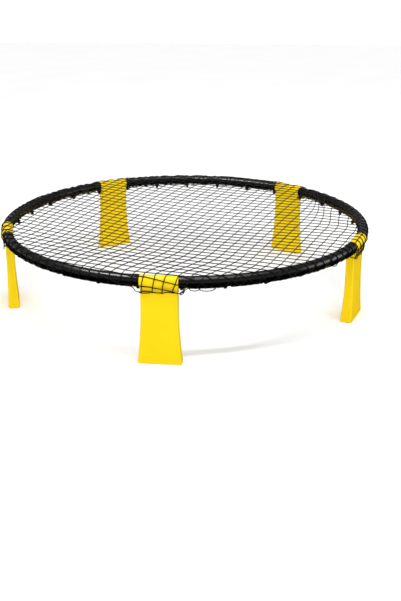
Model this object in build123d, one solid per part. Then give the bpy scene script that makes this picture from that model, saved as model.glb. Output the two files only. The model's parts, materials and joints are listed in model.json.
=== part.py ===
from build123d import *
import os
from math import asin, cos, degrees, radians, sin

# Roundnet game net: a round tube rim on five folding legs, with a knotted net over it.
# Millimetres, +Z up. The origin is the ring's centre on the ground. Leg 1 stands towards -Y, and
# the others follow every 72 degrees, anticlockwise seen from above.
# "Out" below is a distance outwards, away from the ring's centre.

# Ring
LEGS = 5
RING_R = 442.0          # centreline of the rim tube
AXIS_H = 182.8          # height of that centreline above the ground

# Rim section
TUBE_R = 12.5
TUBE_WALL = 2.85
COLLAR_STEP = 1.0       # how far the collar stands above the tube
COLLAR_L = 10.7
COLLAR_ROUND = 0.6
PLUG_WALL = 2.3
PLUG_DEPTH = 28.0       # how far the thin end reaches into the next section
PLUG_GAP = 0.15         # all round, between the thin end and the socket
PLUG_CHAMFER = 1.0
SHOULDER_L = 10.0       # solid step between the tube's bore and the thin end's

# Net hook, in the ring's cross-section
HOOKS = 6               # on each section
HOOK_FROM_END = 4.9     # from a section's end face to the middle of its last hook
HOOK_LEAN = 24.0        # degrees from straight down, towards the ring's centre
HOOK_HANG = 9.5         # from the tube's surface to the tip
HOOK_ROOT_W = 10.0      # along the rim
HOOK_TIP_W = 5.6
HOOK_ROOT_T = 9.6       # across the rim
HOOK_TIP_T = 3.9
HOOK_LIP = 1.4          # how far the lip stands out at the tip
HOOK_LIP_L = 3.5        # how far up from the tip the lip starts
HOOK_ROUND = 0.5

# Leg
SLEEVE_L = 82.0         # its outside is flush with the collars beside it
SLEEVE_ROUND = 0.8
END_GAP = 0.3           # between the sleeve's end and the collar
RUN_GAP = 0.1           # least gap between the bore and the curved thin end
PANEL_INSET = 1.5       # from each end of the sleeve to the panel's side
PANEL_BACK = 5.5        # from the sleeve's front to the panel's outer face, at the top
WAIST_BACK = 7.0        # the same at half height
FOOT_BACK = 4.7         # the same at the ground
FOOT_SPREAD = 8.0       # from each side of the panel outwards, at the ground
FOOT_IN_SPREAD = 5.3    # from the sleeve's inner side inwards, at the ground
SIDE_FLARE_H = 130.0    # below this the sides curve outwards
INNER_FLARE_H = 110.0   # below this the inner face curves inwards
LEG_WALL = 3.0
LEG_CORNER = 4.0
LEG_INNER_CORNER = 1.6
FOOT_ROUND = 1.6
RIB_T = 2.4             # stiffening rib inside the leg
RIB_FOOT = 14.0         # the rib ends this far above the ground

# Fold and its stop
FOLD = 80.0             # degrees from upright to folded
KEY_AT = 50.0           # degrees above outwards, round the fold axis
KEY_W = 12.0            # degrees
KEY_H = 2.4             # above the thin end
KEY_ROOT = 2.0          # sunk into the thin end's wall
KEY_L = 12.0
KEY_MARGIN = 1.0        # degrees between the key and each end of its pocket
KEY_GAP = 0.2           # above the key
KEY_END_GAP = 0.5

# Net
NET_T = 1.2
NET_GAP = 0.3           # between the net's stand-in solids and what they lie on
NET_SAG = 16.0          # at the middle of the bed
EDGE_GAP = 1.364        # from a leg's flap to the wrapped edge beside it
EDGE_UNDER = 74.0       # degrees below outwards that the net wraps round the tube
FLAP_FROM = 84.0        # degrees above outwards where the flap on a leg starts
FLAP_LEAVES = 35.0      # degrees below outwards where it leaves the sleeve
FLAP_GAP = 0.6          # from the leg's outer face
FLAP_RISE = 1.7         # from the sleeve's lowest point up to where the flap reaches that face
FLAP_STRIP = 6.5        # from there down to its lowest point

# Border cord
CORD_R = 1.2
CORD_UNDER = 86.0       # degrees below outwards, where it runs under the tube
CORD_LEAVES = 29.644    # past the leg's side, where it leaves its circle
CORD_RUN = 9.0          # its last straight run before it turns outwards
CORD_SIDE = 1.5         # past the leg's side, where it turns across the leg
CORD_BELOW_FLAP = 2.4   # below the flap, across a leg
CORD_TURNS = 16.0, 12.0, 12.0, 16.0

# How far pieces run into each other before a join or past each other before a cut, in
# millimetres or degrees
LAP = 1.0

# Worked out from the above
PITCH = 360.0 / LEGS
COLLAR_R = TUBE_R + COLLAR_STEP
SLEEVE_R = COLLAR_R
COLLAR_X = SLEEVE_L / 2 + END_GAP
FACE_ANGLE = degrees(asin(COLLAR_X / RING_R))
SLEEVE_SAG = RING_R * (1 - cos(radians(FACE_ANGLE)))
HINGE_R = RING_R - SLEEVE_SAG / 2
SOCKET_R = TUBE_R - TUBE_WALL
PLUG_R = SOCKET_R - PLUG_GAP
BORE_R = PLUG_R + SLEEVE_SAG / 2 + RUN_GAP
KEY_TOP_R = PLUG_R + KEY_H
HOOK_TIP_R = TUBE_R + HOOK_HANG
PANEL_W = SLEEVE_L - 2 * PANEL_INSET
FOOT_W = PANEL_W + 2 * FOOT_SPREAD
PANEL_OUT = SLEEVE_R - PANEL_BACK      # these four are measured from the sleeve's axis
PANEL_WAIST = SLEEVE_R - WAIST_BACK
FOOT_OUT = SLEEVE_R - FOOT_BACK
FOOT_IN = SLEEVE_R + FOOT_IN_SPREAD
NET_R = COLLAR_R + NET_GAP
FLAP_TURN = SLEEVE_R - FLAP_RISE       # these three are below the sleeve's axis
FLAP_HANG = FLAP_TURN + FLAP_STRIP
CORD_DROP = FLAP_HANG + CORD_BELOW_FLAP
CORD_AT = NET_R + CORD_R


def angle_at(x):
    """The angle from a leg to the ring's point at that distance along the leg's fold axis."""
    return degrees(asin(x / RING_R))


def ring_plane(angle):
    """The rim's cross-section at an angle from leg 1: x outwards, y up."""
    a = radians(angle)
    return Plane(
        origin=(RING_R * sin(a), -RING_R * cos(a), AXIS_H),
        x_dir=(sin(a), -cos(a), 0),
        z_dir=(-cos(a), -sin(a), 0),
    )


def leg_plane(x, height):
    """Square to leg 1's fold axis: x outwards, y up."""
    return Plane(origin=(x, -HINGE_R, height), x_dir=(0, -1, 0), z_dir=(-1, 0, 0))


def at_leg(number, piece):
    """A piece made for leg 1, turned to another leg."""
    return Rot(0, 0, PITCH * number) * piece


def ring_bar(face, start, end):
    """A cross-section carried round the ring between two angles."""
    return revolve(ring_plane(start) * face, Axis.Z, end - start)


def ring_end(bar, angle):
    """The edge round a bar's flat end at an angle."""
    return bar.faces().sort_by_distance(ring_plane(angle).origin)[0].edges()


def sleeve_bar(face, x0, x1):
    """A cross-section carried along leg 1's fold axis."""
    return extrude(leg_plane(x1, AXIS_H) * face, x1 - x0)


def polar(radius, angle):
    return radius * cos(radians(angle)), radius * sin(radians(angle))


def sector(inner, outer, start, end):
    """A piece of a flat ring between two angles."""
    return make_face([
        CenterArc((0, 0), inner, start, end - start),
        CenterArc((0, 0), outer, start, end - start),
        Line(polar(inner, start), polar(outer, start)),
        Line(polar(inner, end), polar(outer, end)),
    ])


# ---- Rim section, from leg 1 to leg 2

def hook():
    """A net hook at leg 1's place: a tapered peg that leans inwards, with a lip at its tip."""
    lean = radians(HOOK_LEAN)
    side = Plane(origin=(0, -RING_R, AXIS_H), x_dir=(0, sin(lean), -cos(lean)), z_dir=(1, 0, 0))
    across = Plane(origin=side.origin, x_dir=side.x_dir, z_dir=side.y_dir)
    root, tip = SOCKET_R, HOOK_TIP_R
    profile = Polyline(
        (root, -HOOK_ROOT_T / 2), (tip, -HOOK_TIP_T / 2), (tip, HOOK_TIP_T / 2 + HOOK_LIP),
        (tip - HOOK_LIP_L, HOOK_TIP_T / 2), (root, HOOK_ROOT_T / 2), close=True,
    )
    taper = Polyline(
        (root, -HOOK_ROOT_W / 2), (tip, -HOOK_TIP_W / 2), (tip, HOOK_TIP_W / 2),
        (root, HOOK_ROOT_W / 2), close=True,
    )
    peg = extrude(side * make_face(profile), HOOK_ROOT_W, both=True)
    peg &= extrude(across * make_face(taper), HOOK_TIP_R, both=True)
    bare = [e for e in peg.edges() if (e.center() - side.origin).dot(side.x_dir) > root + LAP]
    return fillet(bare, HOOK_ROUND)


def end_block(x0, x1):
    """A block about leg 1's fold axis, between two planes square to it."""
    reach = 5 * SLEEVE_R
    return Pos((x0 + x1) / 2, -RING_R, AXIS_H) * Box(x1 - x0, reach, reach)


def rim_section():
    """A curved tube with hooks, whose thin end runs through leg 2's sleeve."""
    start, end = FACE_ANGLE - LAP, PITCH - FACE_ANGLE + LAP
    collar = angle_at(COLLAR_X + COLLAR_L)
    first = ring_bar(Circle(COLLAR_R), start, collar)
    last = ring_bar(Circle(COLLAR_R), PITCH - collar, end)
    body = ring_bar(Circle(TUBE_R), start, end)
    body += fillet(ring_end(first, collar), COLLAR_ROUND)
    body += fillet(ring_end(last, PITCH - collar), COLLAR_ROUND)
    first_hook = angle_at(COLLAR_X + HOOK_FROM_END)
    for number in range(HOOKS):
        body += Rot(0, 0, first_hook + number * (PITCH - 2 * first_hook) / (HOOKS - 1)) * hook()
    body -= end_block(0, COLLAR_X)
    body -= at_leg(1, end_block(-COLLAR_X, 0))

    tip = PITCH + angle_at(COLLAR_X + PLUG_DEPTH)
    plug = ring_bar(Circle(PLUG_R), PITCH - FACE_ANGLE - LAP, tip)
    body += chamfer(ring_end(plug, tip), PLUG_CHAMFER)
    key = sector(PLUG_R - KEY_ROOT, KEY_TOP_R, KEY_AT - KEY_W / 2, KEY_AT + KEY_W / 2)
    body += at_leg(1, sleeve_bar(key, -COLLAR_X - LAP, KEY_L - COLLAR_X))

    shoulder = PITCH - angle_at(COLLAR_X + SHOULDER_L)
    body -= ring_bar(Circle(SOCKET_R), start - LAP, shoulder)
    return body - ring_bar(Circle(PLUG_R - PLUG_WALL), shoulder - LAP, tip + LAP)


# ---- Leg 1

def flare(top, bottom):
    """An arc that leaves its top point straight down and ends at its bottom point."""
    across, down = bottom[0] - top[0], top[1] - bottom[1]
    radius = (down**2 + across**2) / (2 * across)
    turn = asin(down / radius) / 2
    return ThreePointArc(
        top, (top[0] + radius * (1 - cos(turn)), top[1] - radius * sin(turn)), bottom
    )


def leg_core(wall, corner):
    """The leg below its sleeve, with all its faces moved in by a wall."""
    half, foot = PANEL_W / 2 - wall, FOOT_W / 2 - wall
    front = make_face([
        Line((-half, AXIS_H), (half, AXIS_H)),
        Line((half, AXIS_H), (half, SIDE_FLARE_H)),
        flare((half, SIDE_FLARE_H), (foot, 0)),
        Line((foot, 0), (-foot, 0)),
        flare((-half, SIDE_FLARE_H), (-foot, 0)),
        Line((-half, SIDE_FLARE_H), (-half, AXIS_H)),
    ])
    inner, outer = wall - SLEEVE_R, PANEL_OUT - wall
    foot_in, foot_out = wall - FOOT_IN, FOOT_OUT - wall
    side = make_face([
        Line((inner, AXIS_H), (outer, AXIS_H)),
        ThreePointArc((outer, AXIS_H), (PANEL_WAIST - wall, AXIS_H / 2), (foot_out, 0)),
        Line((foot_out, 0), (foot_in, 0)),
        flare((inner, INNER_FLARE_H), (foot_in, 0)),
        Line((inner, INNER_FLARE_H), (inner, AXIS_H)),
    ])
    facing = Plane(origin=(0, -HINGE_R, 0), x_dir=(1, 0, 0), z_dir=(0, -1, 0))
    core = extrude(facing * front, 2 * FOOT_IN, both=True)
    core &= extrude(leg_plane(0, 0) * side, FOOT_W, both=True)
    upright = [e for e in core.edges() if abs((e @ 0).Z - (e @ 1).Z) > corner]
    return fillet(upright, corner)


def leg():
    """One moulding: the sleeve, the hollow panel and foot, and the pocket for the stop key."""
    panel = leg_core(0, LEG_CORNER)
    panel = fillet(panel.edges().group_by(Axis.Z)[0], FOOT_ROUND)
    sleeve = sleeve_bar(Circle(SLEEVE_R), -SLEEVE_L / 2, SLEEVE_L / 2)
    body = panel + fillet(sleeve.edges().filter_by(GeomType.CIRCLE), SLEEVE_ROUND)

    roof = AXIS_H - SLEEVE_R - LEG_WALL
    across = 4 * FOOT_IN
    hollow = leg_core(LEG_WALL, LEG_INNER_CORNER)
    hollow -= Pos(0, -HINGE_R, roof + AXIS_H / 2) * Box(2 * FOOT_W, across, AXIS_H)
    body -= hollow - Pos(0, -HINGE_R, RIB_FOOT + AXIS_H / 2) * Box(RIB_T, across, AXIS_H)
    body -= sleeve_bar(Circle(BORE_R), -SLEEVE_L, SLEEVE_L)
    spread = KEY_W / 2 + KEY_MARGIN
    pocket = sector(BORE_R - LAP, KEY_TOP_R + KEY_GAP, KEY_AT - spread, KEY_AT + FOLD + spread)
    return body - sleeve_bar(pocket, -SLEEVE_L, KEY_L + KEY_END_GAP - COLLAR_X)


# ---- Net

def net_bed():
    """The playing surface: a shallow dish inside the ring."""
    edge = RING_R - NET_GAP
    radius = (edge**2 + NET_SAG**2) / (2 * NET_SAG)
    middle = AXIS_H + NET_R - NET_SAG
    rim = middle + NET_SAG
    span = degrees(asin(edge / radius))
    dish = make_face([
        CenterArc((0, middle + radius), radius, -90, span),
        CenterArc((0, middle + radius + NET_T), radius, -90, span),
        Line((0, middle), (0, middle + NET_T)),
        Line((edge, rim), (edge, rim + NET_T)),
    ])
    return revolve(Plane.XZ * dish, Axis.Z, 360)


def net_edge():
    """The net round the tube between the legs, and the flaps outside the sleeves."""
    start = angle_at(SLEEVE_L / 2 + EDGE_GAP)
    wrap = ring_bar(sector(NET_R, NET_R + NET_T, -EDGE_UNDER, 90), start, PITCH - start)
    outer = NET_R + NET_T
    face = PANEL_OUT + FLAP_GAP
    drop = make_face(Polyline(
        polar(NET_R, -FLAP_LEAVES), (face, -FLAP_TURN), (face, -FLAP_HANG),
        (face + NET_T, -FLAP_HANG), (face + NET_T, -FLAP_TURN), polar(outer, -FLAP_LEAVES),
        close=True,
    ))
    flap = sleeve_bar(sector(NET_R, outer, -FLAP_LEAVES, FLAP_FROM) + drop, -SLEEVE_L / 2, SLEEVE_L / 2)
    return Compound([at_leg(n, piece) for n in range(LEGS) for piece in (wrap, flap)])


def net_border_cord():
    """A closed cord: a circle under the tube that turns outwards to cross the face of each leg."""
    place = polar(CORD_AT, -CORD_UNDER)
    leaves_at = angle_at(PANEL_W / 2 + CORD_LEAVES)
    start = ring_plane(leaves_at)
    leaves = start.from_local_coords((*place, 0))
    turns = leaves + start.z_dir * CORD_RUN
    out = PANEL_OUT + CORD_R
    crosses = leg_plane(PANEL_W / 2 + CORD_SIDE, AXIS_H).from_local_coords((out, -CORD_DROP, 0))
    right = [leaves, turns, crosses]
    left = [Vector(-p.X, p.Y, p.Z) for p in reversed(right)]
    route = FilletPolyline(*right, *left, radius=list(CORD_TURNS))
    crossing = sweep(Plane(origin=leaves, z_dir=start.z_dir) * Circle(CORD_R), path=route)
    under = ring_bar(Pos(*place) * Circle(CORD_R), leaves_at, PITCH - leaves_at)
    return Compound([at_leg(n, piece) for n in range(LEGS) for piece in (crossing, under)])


made_section, made_leg = rim_section(), leg()
nodes = {f"rim_section_{n + 1}": at_leg(n, made_section) for n in range(LEGS)}
nodes |= {f"leg_{n + 1}": at_leg(n, made_leg) for n in range(LEGS)}
nodes |= {"net_bed": net_bed(), "net_edge": net_edge(), "net_border_cord": net_border_cord()}

os.makedirs("parts", exist_ok=True)
for name, shape in nodes.items():
    export_step(shape, f"parts/{name}.step")
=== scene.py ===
"""Roundnet game net: the knotted net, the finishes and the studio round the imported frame."""

import json
import random
from math import asin, cos, degrees, pi, radians, sin

import bmesh
import bpy
from mathutils import Matrix, Vector

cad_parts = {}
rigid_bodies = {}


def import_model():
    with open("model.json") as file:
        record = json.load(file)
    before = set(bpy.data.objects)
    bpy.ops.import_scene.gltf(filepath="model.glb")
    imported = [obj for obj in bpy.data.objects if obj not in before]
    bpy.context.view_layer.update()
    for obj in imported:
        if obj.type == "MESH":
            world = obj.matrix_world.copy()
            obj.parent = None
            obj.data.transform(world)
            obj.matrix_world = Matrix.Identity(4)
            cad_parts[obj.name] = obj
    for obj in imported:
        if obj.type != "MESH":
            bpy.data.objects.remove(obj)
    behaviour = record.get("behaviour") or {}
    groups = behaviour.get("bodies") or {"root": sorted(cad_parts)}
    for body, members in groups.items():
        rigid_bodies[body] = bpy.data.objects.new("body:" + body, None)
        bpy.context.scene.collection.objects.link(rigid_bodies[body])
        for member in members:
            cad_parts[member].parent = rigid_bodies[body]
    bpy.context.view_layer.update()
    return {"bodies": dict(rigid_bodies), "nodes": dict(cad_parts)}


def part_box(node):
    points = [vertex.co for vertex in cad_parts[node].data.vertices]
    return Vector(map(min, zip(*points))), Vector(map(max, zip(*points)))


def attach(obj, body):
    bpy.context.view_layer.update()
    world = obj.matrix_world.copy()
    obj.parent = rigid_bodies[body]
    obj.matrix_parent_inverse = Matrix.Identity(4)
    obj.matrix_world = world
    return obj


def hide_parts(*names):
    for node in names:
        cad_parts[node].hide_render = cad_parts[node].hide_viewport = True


bl_info = {
    "name": "Roundnet Game Net",
    "version": (1, 0, 0),
    "blender": (4, 5, 0),
    "location": "View3D > Sidebar > Roundnet",
    "description": "Builds the knotted net, the finishes and the studio of a roundnet game net",
    "category": "Object",
}

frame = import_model()
MM = 0.001

# The frame that the net lies on, in metres
TUBE_R = 12.5 * MM
SLEEVE_R = 13.5 * MM                    # also the collars beside a sleeve
SLEEVE_HALF = 41 * MM                   # from a leg's middle to its sleeve's end
COLLAR_END = 52 * MM                    # from a leg's middle to the collar's end
PANEL_OUT = 8 * MM                      # the leg's outer face, from the sleeve's axis
HOOK_LEAN = 24.0                        # degrees from straight down, towards the middle
HOOKS = 6                               # on each rim section
HOOK_FROM_LEG = 46.2 * MM               # from a leg's middle to the first of them
LEGS = len([name for name in frame["bodies"] if name.startswith("leg_")])
PITCH = 360.0 / LEGS
NET_GAP = 0.3 * MM                      # the stand-in bed ends this far inside the centreline
RING_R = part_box("net_bed")[1].x + NET_GAP
AXIS_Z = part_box("leg_1")[1].z - SLEEVE_R
HINGE_R = RING_R * (1 + cos(asin(SLEEVE_HALF / RING_R))) / 2    # to a leg's fold axis
FIRST_HOOK = degrees(asin(HOOK_FROM_LEG / RING_R))
HOOK_PITCH = (PITCH - 2 * FIRST_HOOK) / (HOOKS - 1)

# How the net's twine lies on the frame
SLEEVE_GAP = 0.3 * MM                   # its clearance over the collars and sleeves
CLIMB = 4 * MM                          # the length over which it climbs onto a collar

# The border cord's way round the rim, where a turn is in degrees above straight outwards
UNDER_GAP, UNDER_TURN = 1.0 * MM, -93   # under the tube: from the net's twine, and its turn
ON_HOOK, BESIDE_HOOK = 17 * MM, 4.6 * MM    # on a hook: down along it, and inwards from it
TO_HOOK, AT_HOOK = 15 * MM, 4 * MM      # from a hook: where it leaves the tube and arrives
OVER_LEG, UNDER_AXIS = 1.4 * MM, 21 * MM    # on a leg: out from its face, and down
TO_LEG, AT_LEG = 60 * MM, 43 * MM       # the same from a leg's middle
WAVE, WAVE_L, WAVE_SHIFT = 1.3 * MM, 52 * MM, 9     # its waves there, which differ by leg


# ---- Settings

class NetSettings(bpy.types.PropertyGroup):
    """Sizes of the knotted net."""

    bar: bpy.props.FloatProperty(
        name="Bar", description="Twine length from knot to knot", default=24.5 * MM,
        unit="LENGTH")
    twine: bpy.props.FloatProperty(
        name="Twine", description="Diameter of the twine", default=2.0 * MM, unit="LENGTH")
    knot: bpy.props.FloatProperty(
        name="Knot", description="Width of a knot", default=3.9 * MM, unit="LENGTH")
    border: bpy.props.FloatProperty(
        name="Border cord", description="Diameter of the cord round the net's edge",
        default=1.9 * MM, unit="LENGTH")
    sag: bpy.props.FloatProperty(
        name="Sag", description="Drop of the playing surface at its middle",
        default=14 * MM, unit="LENGTH")
    turn_a: bpy.props.FloatProperty(
        name="First direction", description="Direction of the first family of bars",
        default=radians(76), subtype="ANGLE")
    turn_b: bpy.props.FloatProperty(
        name="Second direction", description="Direction of the second family of bars",
        default=radians(160.7), subtype="ANGLE")
    phase_a: bpy.props.FloatProperty(
        name="First phase", description="Slides the net along its first direction, in bars",
        default=0.625)
    phase_b: bpy.props.FloatProperty(
        name="Second phase", description="Slides the net along its second direction, in bars",
        default=0.0)
    lean: bpy.props.FloatProperty(
        name="Lean", description="Slope that the first bars are pulled to along the front",
        default=0.325)
    tied_lean: bpy.props.FloatProperty(
        name="Tied lean", description="Their slope once they are round the front of the rim",
        default=0.2)
    taper: bpy.props.FloatProperty(
        name="Taper", description="How much narrower the meshes get towards the front",
        default=0.05)
    spread: bpy.props.FloatProperty(
        name="Spread", description="How much longer the second bars are pulled than the first",
        default=1.05)
    bow: bpy.props.FloatProperty(
        name="Bow", description="How far the first bars bow out sideways at the edge",
        default=32 * MM, unit="LENGTH")
    back_lean: bpy.props.FloatProperty(
        name="Back lean", description="Slope that they are pulled to at the back right",
        default=0.24)
    twist: bpy.props.FloatProperty(
        name="Twist", description="Turn of the net where it is tied over the front leg",
        default=radians(8), subtype="ANGLE")
    wrap: bpy.props.FloatProperty(
        name="Wrap", description="Length of net round the tube, from its top",
        default=43 * MM, unit="LENGTH")


class FinishSettings(bpy.types.PropertyGroup):
    """Colours of the plastics and the twine."""

    rim: bpy.props.FloatVectorProperty(
        name="Rim", description="Colour of the rim plastic", subtype="COLOR",
        size=3, default=(0.0007, 0.0007, 0.0006), min=0, max=1)
    leg: bpy.props.FloatVectorProperty(
        name="Legs", description="Colour of the leg plastic", subtype="COLOR",
        size=3, default=(0.95, 0.66, 0.0003), min=0, max=1)
    twine: bpy.props.FloatVectorProperty(
        name="Twine", description="Colour of the net's twine", subtype="COLOR",
        size=3, default=(0.0045, 0.0034, 0.0028), min=0, max=1)


class StageSettings(bpy.types.PropertyGroup):
    """The camera and the studio."""

    azimuth: bpy.props.FloatProperty(
        name="Azimuth", description="Camera's turn round the net", default=radians(6.96),
        subtype="ANGLE")
    elevation: bpy.props.FloatProperty(
        name="Elevation", description="Camera's height above the horizon",
        default=radians(16.41), subtype="ANGLE")
    roll: bpy.props.FloatProperty(
        name="Roll", description="Camera's turn about its own axis", default=radians(-0.2),
        subtype="ANGLE")
    distance: bpy.props.FloatProperty(
        name="Distance", description="From the camera to the ring's centre", default=2.2325,
        unit="LENGTH")
    lens: bpy.props.FloatProperty(
        name="Lens", description="Focal length on a 36 mm sensor", default=52.76, unit="CAMERA")
    shift_x: bpy.props.FloatProperty(
        name="Shift across", description="Sideways shift of the lens", default=0.026)
    shift_y: bpy.props.FloatProperty(
        name="Shift up", description="Upwards shift of the lens", default=-0.132)
    key: bpy.props.FloatProperty(
        name="Key light", description="Power of the strip overhead", default=27, unit="POWER")
    fill: bpy.props.FloatProperty(
        name="Fill light", description="Power of the soft box at the front", default=2.2,
        unit="POWER")
    gloss: bpy.props.FloatProperty(
        name="Gloss light", description="Power of the strip that the plastics reflect",
        default=42, unit="POWER")
    side: bpy.props.FloatProperty(
        name="Side light", description="Power of the panel that they reflect at the right",
        default=16, unit="POWER")
    room: bpy.props.FloatProperty(
        name="Room", description="Brightness of the room that the plastics reflect",
        default=0.2)
    ceiling: bpy.props.FloatProperty(
        name="Ceiling", description="Strength of the wide soft light overhead", default=1.5)
    world: bpy.props.FloatProperty(
        name="Surroundings", description="Brightness of the studio overhead", default=0.42)


# ---- Finishes

def adder(tree):
    """A helper that adds a node to a tree, with its settings and its inputs."""

    def add(kind, inputs=(), **settings):
        node = tree.nodes.new(kind)
        for key, value in settings.items():
            setattr(node, key, value)
        for key, value in dict(inputs).items():
            if isinstance(value, bpy.types.NodeSocket):
                tree.links.new(value, node.inputs[key])
            else:
                node.inputs[key].default_value = value
        return node

    return add


def nodes_of(name):
    """A new material, its shader and two helpers that add its nodes and link them to it."""
    material = bpy.data.materials.new(name)
    material.use_nodes = True
    tree = material.node_tree
    shader = tree.nodes["Principled BSDF"]

    def link(output, socket):
        tree.links.new(output, shader.inputs[socket])

    return material, shader, adder(tree), link


def ramp(add, factor, stops):
    """A colour ramp whose stops are (position, grey or colour)."""
    node = add("ShaderNodeValToRGB", {"Fac": factor})
    while len(node.color_ramp.elements) < len(stops):
        node.color_ramp.elements.new(0.5)
    for element, (position, value) in zip(node.color_ramp.elements, stops):
        element.position = position
        element.color = (*value, 1) if isinstance(value, tuple) else (value,) * 3 + (1,)
    return node.outputs["Color"]


def blend(add, share, first, second, kind="FLOAT"):
    """A mix of two values or colours."""
    inputs = {"Factor": share, "A": first, "B": second}
    return add("ShaderNodeMix", inputs, data_type=kind).outputs["Result"]


def relief(add, height, strength, depth):
    """The normal of a surface that is raised by a height."""
    bump = add("ShaderNodeBump", {"Height": height, "Strength": strength, "Distance": depth})
    return bump.outputs["Normal"]


def shade(colour, factor):
    """A colour made lighter or darker."""
    return tuple(min(1.0, c * factor) for c in colour)


def moulded_plastic(name, colour, pale, rough, specular, grain, wear):
    """Injection-moulded plastic: cloudy colour, a fine satin grain, and faint scuffs."""
    material, shader, add, link = nodes_of(name)
    place = add("ShaderNodeTexCoord").outputs["Object"]
    cloud = add("ShaderNodeTexNoise", {"Vector": place, "Scale": 14, "Detail": 3})
    fine = add("ShaderNodeTexNoise", {"Vector": place, "Scale": 1100, "Detail": 2})
    long = add("ShaderNodeMapping", {"Vector": place, "Scale": (1, 1, 0.25)})
    scuff = add("ShaderNodeTexNoise", {"Vector": long.outputs[0], "Scale": 95, "Detail": 6,
                                      "Roughness": 0.7})
    tone = ramp(add, cloud.outputs["Fac"], [(0.35, shade(colour, 0.95)), (0.7, colour)])
    rubbed = ramp(add, scuff.outputs["Fac"], [(0.6, 0.0), (0.74, wear)])
    link(blend(add, rubbed, tone, (*pale, 1), "RGBA"), "Base Color")
    link(ramp(add, scuff.outputs["Fac"], [(0.35, rough), (0.8, rough + 0.14)]), "Roughness")
    height = blend(add, 0.35, fine.outputs["Fac"], cloud.outputs["Fac"])
    link(relief(add, height, strength=grain, depth=0.2 * MM), "Normal")
    shader.inputs["Specular IOR Level"].default_value = specular
    return material


def twisted_twine(name, colour, turns):
    """Twisted, tarred twine: diagonal strands along its length, and stray pale fibres."""
    material, shader, add, link = nodes_of(name)
    along = add("ShaderNodeTexCoord").outputs["UV"]
    skew = add("ShaderNodeMapping", {"Vector": along, "Scale": (1, turns, 1)})
    strands = add("ShaderNodeTexWave", {"Vector": skew.outputs[0], "Scale": 0.32,
                                        "Distortion": 0.6, "Detail": 1},
                  wave_type="BANDS", bands_direction="DIAGONAL")
    place = add("ShaderNodeTexCoord").outputs["Object"]
    fibre = add("ShaderNodeTexNoise", {"Vector": place, "Scale": 2600, "Detail": 3})
    age = add("ShaderNodeTexNoise", {"Vector": place, "Scale": 38, "Detail": 2})
    tone = ramp(add, age.outputs["Fac"], [(0.35, shade(colour, 0.7)), (0.68, shade(colour, 1.5))])
    light = ramp(add, fibre.outputs["Fac"], [(0.5, 0.0), (0.8, 0.5)])
    link(blend(add, light, tone, (*shade(colour, 3.2), 1), "RGBA"), "Base Color")
    height = blend(add, 0.3, strands.outputs["Fac"], fibre.outputs["Fac"])
    link(relief(add, height, strength=0.7, depth=0.3 * MM), "Normal")
    shader.inputs["Roughness"].default_value = 0.72
    shader.inputs["Specular IOR Level"].default_value = 0.2
    return material


def pale_floor():
    """The studio's pale floor, a little cloudy."""
    material, shader, add, link = nodes_of("pale_floor")
    place = add("ShaderNodeTexCoord").outputs["Object"]
    cloud = add("ShaderNodeTexNoise", {"Vector": place, "Scale": 3})
    link(ramp(add, cloud.outputs["Fac"], [(0.3, 0.95), (0.7, 0.97)]), "Base Color")
    shader.inputs["Roughness"].default_value = 0.9
    shader.inputs["Specular IOR Level"].default_value = 0.1
    return material


def dress(piece, material):
    """Gives a piece its one material."""
    piece.data.materials.clear()
    piece.data.materials.append(material)


# ---- Where the net lies

def smooth(start, end, value):
    """0 before start, 1 past end, and a smooth step between them, either way round."""
    t = min(1.0, max(0.0, (value - start) / (end - start)))
    return t * t * (3 - 2 * t)


def smooth_total(start, end, value):
    """The area under smooth(start, end, ...) up to a value."""
    t = max(0.0, (value - start) / (end - start))
    return (end - start) * (t**3 - t**4 / 2 if t < 1 else t - 0.5)


def from_leg(angle):
    """The nearest leg's angle, and the distance from it along its fold axis."""
    leg = -90 + PITCH * round((degrees(angle) + 90) / PITCH)
    return radians(leg), RING_R * sin(angle - radians(leg))


def to_hook(angle):
    """Distance along the rim to the nearest hook, leaving out those on the collars."""
    part = (degrees(angle) + 90) % PITCH
    number = min(HOOKS - 2, max(1, round((part - FIRST_HOOK) / HOOK_PITCH)))
    return RING_R * radians(abs(part - FIRST_HOOK - number * HOOK_PITCH))


def polar(radius, turn):
    """Out and up of a place at a radius, turned by degrees above straight outwards."""
    return Vector((radius * cos(radians(turn)), radius * sin(radians(turn))))


def lie(half_twine, x):
    """Radius that the twine's middle lies at, at a distance from a leg."""
    on_leg = smooth(COLLAR_END + CLIMB, COLLAR_END, abs(x))
    return TUBE_R + half_twine + on_leg * (SLEEVE_R - TUBE_R + SLEEVE_GAP)


def border_at(angle, half_twine):
    """The border cord's place in the rim's cross-section: out from the tube's middle, and up."""
    leg, x = from_leg(angle)
    under = polar(lie(half_twine, x) + UNDER_GAP, UNDER_TURN)
    lean = radians(HOOK_LEAN)
    down, inward = Vector((-sin(lean), -cos(lean))), Vector((-cos(lean), sin(lean)))
    caught = down * ON_HOOK + inward * BESIDE_HOOK
    place = under.lerp(caught, smooth(TO_HOOK, AT_HOOK, to_hook(angle)))
    wave = WAVE * sin(2 * pi * x / WAVE_L + WAVE_SHIFT * leg)
    across = Vector((PANEL_OUT + OVER_LEG, wave - UNDER_AXIS))
    return place.lerp(across, smooth(TO_LEG, AT_LEG, abs(x)))


def in_section(angle, out_up):
    """A place in the rim's cross-section, as a point of the frame."""
    leg, x = from_leg(angle)
    out, up = out_up
    ring = Vector((cos(angle), sin(angle), 0)) * (RING_R + out)
    facing, along = Vector((cos(leg), sin(leg), 0)), Vector((-sin(leg), cos(leg), 0))
    sleeve = facing * (HINGE_R + out) + along * x
    point = ring.lerp(sleeve, smooth(COLLAR_END, SLEEVE_HALF, abs(x)))
    point.z = AXIS_Z + up
    return point


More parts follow.
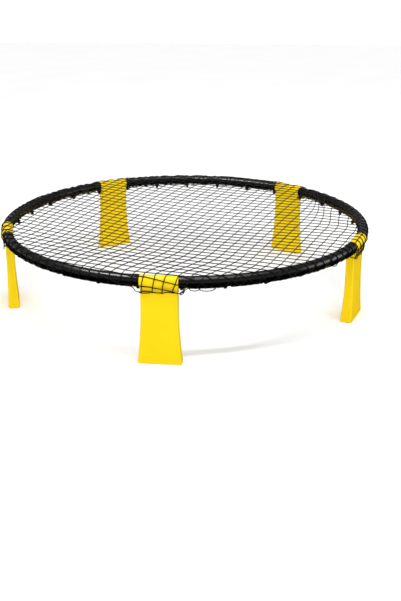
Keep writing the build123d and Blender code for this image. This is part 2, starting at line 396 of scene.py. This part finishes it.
class Weave:
    """Takes points of the flat, uncut net to where they lie on the frame."""

    # The bed is stretched at its middle and gathered at the rim. The higher the power of its
    # last bend, the nearer to the rim it starts to follow the sleeves
    STRETCH, GATHER, LAST_BEND = 1.02, 0.05, 20
    # Where the first bars start and finish turning: towards the front, and round the rim there
    LEAN, TIED = (203 * MM, 344 * MM), (400 * MM, 430 * MM)
    # The same at the back right: towards the right, and towards the back
    RIGHT, BACK = (300 * MM, 400 * MM), (50 * MM, 110 * MM)
    # Where the twist at the front leg starts and is full: to its sides, and from it inwards
    TWIST_SIDE, TWIST_IN = (150 * MM, 55 * MM), (70 * MM, 5 * MM)
    # The turns at which the net leaves the tube and a sleeve, and how far past a collar the
    # first starts to change to the second
    LEAVE_TUBE, LEAVE_SLEEVE, LEAVE_FROM = -80.0, -36.0, 6 * MM
    # How far knots are off their places, how much more at the rim, and where that starts and
    # is full, as shares of the ring's radius
    LOOSE, LOOSE_EDGE, EDGE = 0.5 * MM, 1.1 * MM, (0.75, 1.05)
    SEED = 7
    ROUNDS, HALVINGS = 20, 18               # enough for the rim's place, and for a bar's end

    def __init__(self, net):
        self.net = net
        self.half = net.twine / 2
        self.first = Vector((cos(net.turn_a), sin(net.turn_a)))
        self.second = Vector((cos(net.turn_b), sin(net.turn_b)))
        self.rim = RING_R
        for _ in range(self.ROUNDS):
            self.rim = RING_R / (self.STRETCH - self.GATHER * (self.rim / RING_R) ** 2)
        self.rim_rate = self.STRETCH - 3 * self.GATHER * (self.rim / RING_R) ** 2
        self.shifts = {}
        self.random = random.Random(self.SEED)

    def knot(self, i, j):
        """A knot of the flat net, slid sideways as the net is pulled, and a little uneven."""
        net = self.net
        along, across = (i + net.phase_a) * net.bar, (j + net.phase_b) * net.bar
        share = along / RING_R
        across *= net.spread + net.taper * share
        to_right = (self.first * along + self.second * across).x
        pulled = net.back_lean * smooth(*self.RIGHT, to_right) * smooth_total(*self.BACK, along)
        across += self.shear(-along) - net.bow * share**2 + pulled
        place = self.turned_at_front(self.first * along + self.second * across)
        if (i, j) not in self.shifts:
            loose = self.LOOSE + self.LOOSE_EDGE * smooth(*self.EDGE, place.length / RING_R)
            self.shifts[i, j] = Vector([self.random.uniform(-loose, loose) for _ in "xy"])
        return place + self.shifts[i, j]

    def shear(self, to_front):
        """How far the first bars have slid sideways, this far towards the front."""
        net = self.net
        leaning = smooth_total(*self.LEAN, to_front)
        tied = smooth_total(*self.TIED, to_front)
        return net.lean * leaning - (net.lean - net.tied_lean) * tied

    def turned_at_front(self, flat):
        """Turns the net about the middle of the front leg, where it is wrapped and tied."""
        middle = Vector((0, -self.rim))
        away = flat - middle
        near = smooth(*self.TWIST_SIDE, abs(away.x)) * smooth(*self.TWIST_IN, away.y)
        return middle + Matrix.Rotation(self.net.twist * near, 2) @ away

    def past_rim(self, flat):
        """Net length from the tube's top outwards, negative on the bed."""
        return (flat.length - self.rim) * self.rim_rate

    def on_bed(self, flat, angle, radius):
        """A place on the sagging bed, which ends over the tube or over a sleeve."""
        share = flat.length / RING_R
        reach = flat.length * (self.STRETCH - self.GATHER * share**2)
        part = reach / RING_R
        towards = Vector((cos(angle), sin(angle), 0))
        at_edge = part**self.LAST_BEND
        edge = in_section(angle, (0, radius))
        point = towards * reach + (edge - towards * RING_R) * at_edge
        top = TUBE_R + self.half
        point.z = AXIS_Z + top + (radius - top) * at_edge - self.net.sag * (1 - part**2) ** 2
        return point

    def __call__(self, flat):
        """Where a flat point lies: on the bed, round the rim, or down to the border."""
        angle = -Vector((1, 0)).angle_signed(flat)
        x = from_leg(angle)[1]
        radius = lie(self.half, x)
        past = self.past_rim(flat)
        if past < 0:
            return self.on_bed(flat, angle, radius)
        on_leg = smooth(COLLAR_END + self.LEAVE_FROM, SLEEVE_HALF, abs(x))
        leave = self.LEAVE_TUBE + (self.LEAVE_SLEEVE - self.LEAVE_TUBE) * on_leg
        wrapped = radius * radians(90 - leave)
        if past < wrapped:
            return in_section(angle, polar(radius, 90 - degrees(past / radius)))
        rest = (past - wrapped) / (self.net.wrap - wrapped)
        start, end = polar(radius, leave), border_at(angle, self.half)
        return in_section(angle, start.lerp(end, rest))

    def end_of(self, inside, outside):
        """Where a bar from one flat point to another reaches the net's border."""
        low, high = 0.0, 1.0
        for _ in range(self.HALVINGS):
            middle = (low + high) / 2
            if self.past_rim(inside.lerp(outside, middle)) < self.net.wrap:
                low = middle
            else:
                high = middle
        return inside.lerp(outside, low)


NET_REACH = 1.45        # of the ring's radius: past the net's edge all round
EDGE_MARGIN = 2 * MM    # bars that end nearer to the tube's top than this are on the edge
END_KNOT = 1.15         # how much larger a knot on the border is than the others


def lay_net(net):
    """Bars and knots of the bed and of the edge, as flat points."""
    weave = Weave(net)
    count = int(NET_REACH * RING_R / net.bar)
    spots = {(i, j): weave.knot(i, j)
             for i in range(-count, count) for j in range(-count, count)}
    inside = {key: weave.past_rim(spot) < net.wrap for key, spot in spots.items()}
    bars = {"bed": [], "edge": []}
    knots = {"bed": [], "edge": []}
    for (i, j), here in spots.items():
        if inside[i, j]:
            part = "bed" if weave.past_rim(here) < 0 else "edge"
            knots[part].append((here, weave.first, 1.0))
        for other in ((i + 1, j), (i, j + 1)):
            there = spots.get(other)
            if there is None or not (inside[i, j] or inside[other]):
                continue
            start, end = here, there
            if not inside[other]:
                end = weave.end_of(here, there)
            elif not inside[i, j]:
                start = weave.end_of(there, here)
            on_edge = max(weave.past_rim(start), weave.past_rim(end)) > -EDGE_MARGIN
            bars["edge" if on_edge else "bed"].append((start, end))
            for spot, held in ((start, inside[i, j]), (end, inside[other])):
                if not held:
                    knots["edge"].append((spot, end - start, END_KNOT))
    return weave, bars, knots


# ---- Pieces

KNOT_SHAPE = (1.1, 0.92, 0.78)          # along the twine, across it, and out from the net
KNOT_WAIST, WAIST_REACH = 0.16, 0.2     # its depth, and its reach in widths of the knot
KNOT_RAISE = 0.25 * MM                  # how far a knot's middle is above its twine's
BED_STEPS, EDGE_STEPS = 3, 9            # in a bar


def place_piece(name, mesh, body, replaced, material):
    """A visible piece that rides a body and takes the place of one of its parts."""
    piece = bpy.data.objects.new(name, mesh)
    bpy.context.scene.collection.objects.link(piece)
    dress(piece, material)
    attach(piece, body)
    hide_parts(replaced)
    return piece


def twine_mesh(name, lines, thickness, sides=6, closed=False):
    """Round twine along each line of points, as one mesh."""
    curve = bpy.data.curves.new(name, "CURVE")
    curve.dimensions = "3D"
    curve.bevel_depth = thickness / 2
    curve.bevel_resolution = (sides - 4) // 2
    curve.use_fill_caps = not closed
    for line in lines:
        spline = curve.splines.new("POLY")
        spline.points.add(len(line) - 1)
        spline.use_cyclic_u = closed
        for point, place in zip(spline.points, line):
            point.co = (*place, 1)
    holder = bpy.data.objects.new(name, curve)
    bpy.context.scene.collection.objects.link(holder)
    mesh = bpy.data.meshes.new_from_object(holder)
    bpy.data.objects.remove(holder)
    bpy.data.curves.remove(curve)
    for face in mesh.polygons:
        face.use_smooth = True
    mesh.name = name
    return mesh


def one_knot(width):
    """A flattened bead with a slanting waist."""
    shape = bmesh.new()
    bmesh.ops.create_uvsphere(shape, u_segments=8, v_segments=5, radius=width / 2)
    waist = Vector((1, 1, 0)).normalized()
    for vert in shape.verts:
        from_waist = abs(vert.co.dot(waist)) / (WAIST_REACH * width)
        vert.co *= 1 - KNOT_WAIST * max(0.0, 1 - from_waist)
    bmesh.ops.scale(shape, vec=KNOT_SHAPE, verts=shape.verts)
    for face in shape.faces:
        face.smooth = True
    mesh = bpy.data.meshes.new("knot")
    shape.to_mesh(mesh)
    shape.free()
    return mesh


def knot_mesh(name, knots, weave, width):
    """A knot at each place, turned the way its twine runs."""
    shape, bead = bmesh.new(), one_knot(width)
    step = 1.5 * MM
    for flat, along, size in knots:
        ahead = along.normalized() * step
        side = Vector((-ahead.y, ahead.x))
        x_axis = (weave(flat + ahead) - weave(flat - ahead)).normalized()
        y_axis = weave(flat + side) - weave(flat - side)
        z_axis = x_axis.cross(y_axis).normalized()
        y_axis = z_axis.cross(x_axis)
        turn = Matrix((x_axis, y_axis, z_axis)).transposed().to_4x4()
        placed = bead.copy()
        place = Matrix.Translation(weave(flat) + z_axis * KNOT_RAISE)
        placed.transform(place @ turn @ Matrix.Scale(size, 4))
        shape.from_mesh(placed)
        bpy.data.meshes.remove(placed)
    bpy.data.meshes.remove(bead)
    mesh = bpy.data.meshes.new(name)
    shape.to_mesh(mesh)
    shape.free()
    return mesh


def bar_points(weave, start, end):
    """Points along a bar: few on the bed, closer where it bends round the tube."""
    on_edge = max(weave.past_rim(start), weave.past_rim(end)) > 0
    count = EDGE_STEPS if on_edge else BED_STEPS
    return [weave(start.lerp(end, step / count)) for step in range(count + 1)]


class ROUNDNET_OT_finishes(bpy.types.Operator):
    """Gives the rim and the legs their moulded plastics"""

    bl_idname = "roundnet.finishes"
    bl_label = "Finish Rim and Legs"

    def execute(self, context):
        look = context.scene.roundnet_finish
        rim = moulded_plastic("rim_plastic", tuple(look.rim), (0.004, 0.004, 0.0035),
                              rough=0.22, specular=0.5, grain=0.10, wear=0.3)
        leg = moulded_plastic("leg_plastic", tuple(look.leg), (0.95, 0.68, 0.02),
                              rough=0.3, specular=0.14, grain=0.14, wear=0.1)
        for name, node in frame["nodes"].items():
            if name.startswith("rim_section"):
                dress(node, rim)
            elif name.startswith("leg"):
                dress(node, leg)
        return {"FINISHED"}


class ROUNDNET_OT_net(bpy.types.Operator):
    """Ties the knotted net over the rim"""

    bl_idname = "roundnet.net"
    bl_label = "Tie Net"

    def execute(self, context):
        net = context.scene.roundnet_net
        colour = tuple(context.scene.roundnet_finish.twine)
        twine = twisted_twine("net_twine", colour, turns=14)
        weave, bars, knots = lay_net(net)
        for part in ("bed", "edge"):
            lines = [bar_points(weave, start, end) for start, end in bars[part]]
            mesh = twine_mesh(f"net_{part}_twine", lines, net.twine)
            place_piece(f"net_{part}_twine", mesh, "frame", f"net_{part}", twine)
            mesh = knot_mesh(f"net_{part}_knots", knots[part], weave, net.knot)
            place_piece(f"net_{part}_knots", mesh, "frame", f"net_{part}", twine)
        return {"FINISHED"}


class ROUNDNET_OT_border(bpy.types.Operator):
    """Runs the border cord under the rim, round the hooks and across the legs"""

    bl_idname = "roundnet.border"
    bl_label = "Run Border Cord"
    STEPS = 900

    def execute(self, context):
        net = context.scene.roundnet_net
        colour = tuple(context.scene.roundnet_finish.twine)
        cord = twisted_twine("border_cord", colour, turns=900)
        angles = [2 * pi * step / self.STEPS for step in range(self.STEPS)]
        line = [in_section(angle, border_at(angle, net.twine / 2)) for angle in angles]
        mesh = twine_mesh("net_border", [line], net.border, sides=8, closed=True)
        place_piece("net_border", mesh, "frame", "net_border_cord", cord)
        return {"FINISHED"}


class ROUNDNET_OT_loops(bpy.types.Operator):
    """Hangs the spare loops of the border cord, and ties its eye beside the front leg"""

    bl_idname = "roundnet.loops"
    bl_label = "Hang Spare Loops"
    # All in mm. Each loop's leg, where it starts and ends along the rim from there, and its drop
    LOOPS = ((1, -41, -17, 3.5), (1, 62, 84, 5.5), (1, 82, 116, 6.5), (2, -40, -21, 5.0),
             (2, -22, -2, 4.5), (2, -3, 17, 5.0), (2, 16, 37, 4.5), (2, -132, -112, 5.5),
             (3, -30, -6, 5.0), (4, 6, 34, 5.0), (5, -40, -22, 5.0), (5, 16, 44, 12.0))
    LOOP_STEPS, EYE_STEPS = 12, 16
    BULGE, BLUNT = 0.08, 0.7                # how wide a loop hangs, and how blunt it ends
    CLEAR, FLARE = 0.5, 0.1                 # out from the border, and more for each mm down
    EYE = 47.5, -20.5                       # its middle: along the rim from the leg, and up
    EYE_LONG, EYE_WIDE, EYE_LEAN = 4.6, 2.4, 52.0
    EYE_OUT, EYE_TIP = 2.0, 0.8             # from the leg's face, and how far its ends tip
    # The bar from the eye up over the collar: along the rim, and degrees round the tube
    UP = ((51.0, -34.0), (55.0, -12.0), (60.0, 12.0), (66.0, 36.0), (71.0, 62.0), (74.0, 86.0))
    UP_GAP = 0.2                            # over the net's own twine

    def hanging(self, half_twine, leg, start, end, drop):
        """A loop of cord that hangs from the border between two places along the rim."""
        points = []
        for step in range(self.LOOP_STEPS + 1):
            part = step / self.LOOP_STEPS
            full = part - self.BULGE * sin(2 * pi * part)
            along = (start + (end - start) * full) * MM
            angle = radians(-90 + (leg - 1) * PITCH) + asin(along / RING_R)
            low = drop * MM * sin(pi * part) ** self.BLUNT
            off = Vector((self.CLEAR * MM + low * self.FLARE, -low))
            points.append(in_section(angle, border_at(angle, half_twine) + off))
        return points

    def eye(self, front):
        """A small ring of cord, which leans beside the front leg."""
        middle = Vector(self.EYE) * MM
        turn = Matrix.Rotation(radians(self.EYE_LEAN), 2)
        points = []
        for step in range(self.EYE_STEPS + 1):
            around = 2 * pi * step / self.EYE_STEPS
            flat = turn @ Vector((self.EYE_LONG * cos(around), self.EYE_WIDE * sin(around)))
            along, up = middle + flat * MM
            out = PANEL_OUT + (self.EYE_OUT + self.EYE_TIP * cos(around)) * MM
            points.append(in_section(front + asin(along / RING_R), (out, up)))
        return points

    def over_collar(self, front, half_twine, start):
        """The bar from the eye to the top of the rim."""
        points = [start]
        for along, turn in self.UP:
            radius = lie(half_twine, along * MM) + self.UP_GAP * MM
            points.append(in_section(front + asin(along * MM / RING_R), polar(radius, turn)))
        return points

    def execute(self, context):
        net = context.scene.roundnet_net
        half_twine, front = net.twine / 2, radians(-90)
        lines = [self.hanging(half_twine, *loop) for loop in self.LOOPS]
        eye = self.eye(front)
        lines += [eye, self.over_collar(front, half_twine, eye[0])]
        mesh = twine_mesh("net_spare_loops", lines, net.twine, sides=8)
        cord = bpy.data.materials["border_cord"]
        place_piece("net_spare_loops", mesh, "frame", "net_border_cord", cord)
        return {"FINISHED"}


# ---- Stage

FLOOR = 14.0                                # its side
PALE, DIM = 1.0, (0.25, 0.65)               # the horizon, and the heights it dims between
GLOSS_PALE, GLOSS_DIM = 0.8, (0.05, 0.35)   # the same, as the plastics reflect them
CENTRE = Vector((0, 0, AXIS_Z))


def lay_floor():
    """A flat square floor, which the plastics don't reflect."""
    shape = bmesh.new()
    bmesh.ops.create_grid(shape, x_segments=1, y_segments=1, size=FLOOR / 2)
    mesh = bpy.data.meshes.new("floor")
    shape.to_mesh(mesh)
    shape.free()
    floor = bpy.data.objects.new("floor", mesh)
    bpy.context.scene.collection.objects.link(floor)
    dress(floor, pale_floor())
    floor.visible_glossy = False


def studio_world(brightness, room):
    """Pale round the horizon and dimmer above. Gloss sees a dim room, with nothing below."""
    world = bpy.data.worlds.new("studio")
    world.use_nodes = True
    tree = world.node_tree
    add = adder(tree)
    towards = add("ShaderNodeTexCoord").outputs["Generated"]
    height = add("ShaderNodeSeparateXYZ", {"Vector": towards}).outputs["Z"]

    def dimming(heights, pale, dim):
        inputs = {"Value": height, "From Min": heights[0], "From Max": heights[1],
                  "To Min": pale, "To Max": dim}
        return add("ShaderNodeMapRange", inputs).outputs["Result"]

    seen = dimming(DIM, PALE, brightness)
    above = add("ShaderNodeMath", {0: height, 1: 0.0}, operation="GREATER_THAN").outputs[0]
    reflected = add("ShaderNodeMath", {0: dimming(GLOSS_DIM, GLOSS_PALE, room), 1: above},
                    operation="MULTIPLY").outputs[0]
    on_gloss = add("ShaderNodeLightPath").outputs["Is Glossy Ray"]
    tree.links.new(blend(add, on_gloss, seen, reflected), tree.nodes["Background"].inputs["Color"])
    return world


def soft_box(name, place, aim, size, power):
    """A soft light with a length and a width, aimed at a point."""
    light = bpy.data.lights.new(name, "AREA")
    light.shape = "RECTANGLE"
    light.size, light.size_y = size
    light.energy = power
    holder = bpy.data.objects.new(name, light)
    holder.location = place
    holder.rotation_euler = (Vector(aim) - Vector(place)).to_track_quat("-Z", "Y").to_euler()
    bpy.context.scene.collection.objects.link(holder)
    return holder


def studio_lights(stage):
    """Soft light from overhead and the front, and two lights that only gloss shows."""
    key = soft_box("key", place=(0.35, -1.0, 2.3), aim=CENTRE, size=(2.2, 0.12),
                   power=stage.key)
    key.visible_glossy = False
    gloss = soft_box("gloss", place=(-0.8, -0.45, 2.2), aim=(-0.6, 0, AXIS_Z),
                     size=(1.5, 0.2), power=stage.gloss)
    gloss.visible_diffuse = False
    ceiling = bpy.data.lights.new("ceiling", "SUN")
    ceiling.angle = radians(50)
    ceiling.energy = stage.ceiling
    bpy.context.scene.collection.objects.link(bpy.data.objects.new("ceiling", ceiling))
    fill = soft_box("fill", place=(-0.6, -2.6, 1.5), aim=CENTRE, size=(1.6, 1.2),
                    power=stage.fill)
    fill.visible_glossy = False
    side = soft_box("side", place=(2.6, 0.2, 0.8), aim=CENTRE, size=(1.4, 1.2),
                    power=stage.side)
    side.visible_diffuse = False


def studio_camera(stage):
    """A camera that looks at the ring's centre."""
    camera = bpy.data.cameras.new("camera")
    camera.lens, camera.sensor_width = stage.lens, 36
    camera.shift_x, camera.shift_y = stage.shift_x, stage.shift_y
    turn, lift = stage.azimuth, stage.elevation
    back = Vector((sin(turn) * cos(lift), -cos(turn) * cos(lift), sin(lift)))
    holder = bpy.data.objects.new("camera", camera)
    holder.location = CENTRE + back * stage.distance
    aim = (-back).to_track_quat("-Z", "Y").to_matrix()
    holder.rotation_euler = (aim @ Matrix.Rotation(stage.roll, 3, "Z")).to_euler()
    bpy.context.scene.collection.objects.link(holder)
    return holder


class ROUNDNET_OT_stage(bpy.types.Operator):
    """Lays the pale floor and sets the soft lights and the camera"""

    bl_idname = "roundnet.stage"
    bl_label = "Set Stage"

    def execute(self, context):
        stage, scene = context.scene.roundnet_stage, context.scene
        scene.view_settings.view_transform = "Standard"
        lay_floor()
        scene.world = studio_world(stage.world, stage.room)
        studio_lights(stage)
        scene.camera = studio_camera(stage)
        return {"FINISHED"}


# ---- Panel and registration

class ROUNDNET_PT_panel(bpy.types.Panel):
    """Settings and steps of the roundnet game net"""

    bl_idname = "ROUNDNET_PT_panel"
    bl_label = "Roundnet"
    bl_space_type = "VIEW_3D"
    bl_region_type = "UI"
    bl_category = "Roundnet"

    def draw(self, context):
        for operator in OPERATORS:
            self.layout.operator(operator.bl_idname)
        for name, group in SETTINGS.items():
            box = self.layout.box()
            settings = getattr(context.scene, name)
            for key in group.__annotations__:
                box.prop(settings, key)


OPERATORS = (ROUNDNET_OT_finishes, ROUNDNET_OT_net, ROUNDNET_OT_border, ROUNDNET_OT_loops,
             ROUNDNET_OT_stage)
SETTINGS = {"roundnet_net": NetSettings, "roundnet_finish": FinishSettings,
            "roundnet_stage": StageSettings}


def register():
    for group in (*SETTINGS.values(), *OPERATORS, ROUNDNET_PT_panel):
        bpy.utils.register_class(group)
    for name, group in SETTINGS.items():
        setattr(bpy.types.Scene, name, bpy.props.PointerProperty(type=group))


def unregister():
    for name in SETTINGS:
        delattr(bpy.types.Scene, name)
    for group in (ROUNDNET_PT_panel, *OPERATORS, *SETTINGS.values()):
        bpy.utils.unregister_class(group)


def main():
    register()
    for operator in (bpy.ops.roundnet.finishes, bpy.ops.roundnet.net, bpy.ops.roundnet.border,
                     bpy.ops.roundnet.loops, bpy.ops.roundnet.stage):
        operator()


if __name__ == "__main__":
    main()
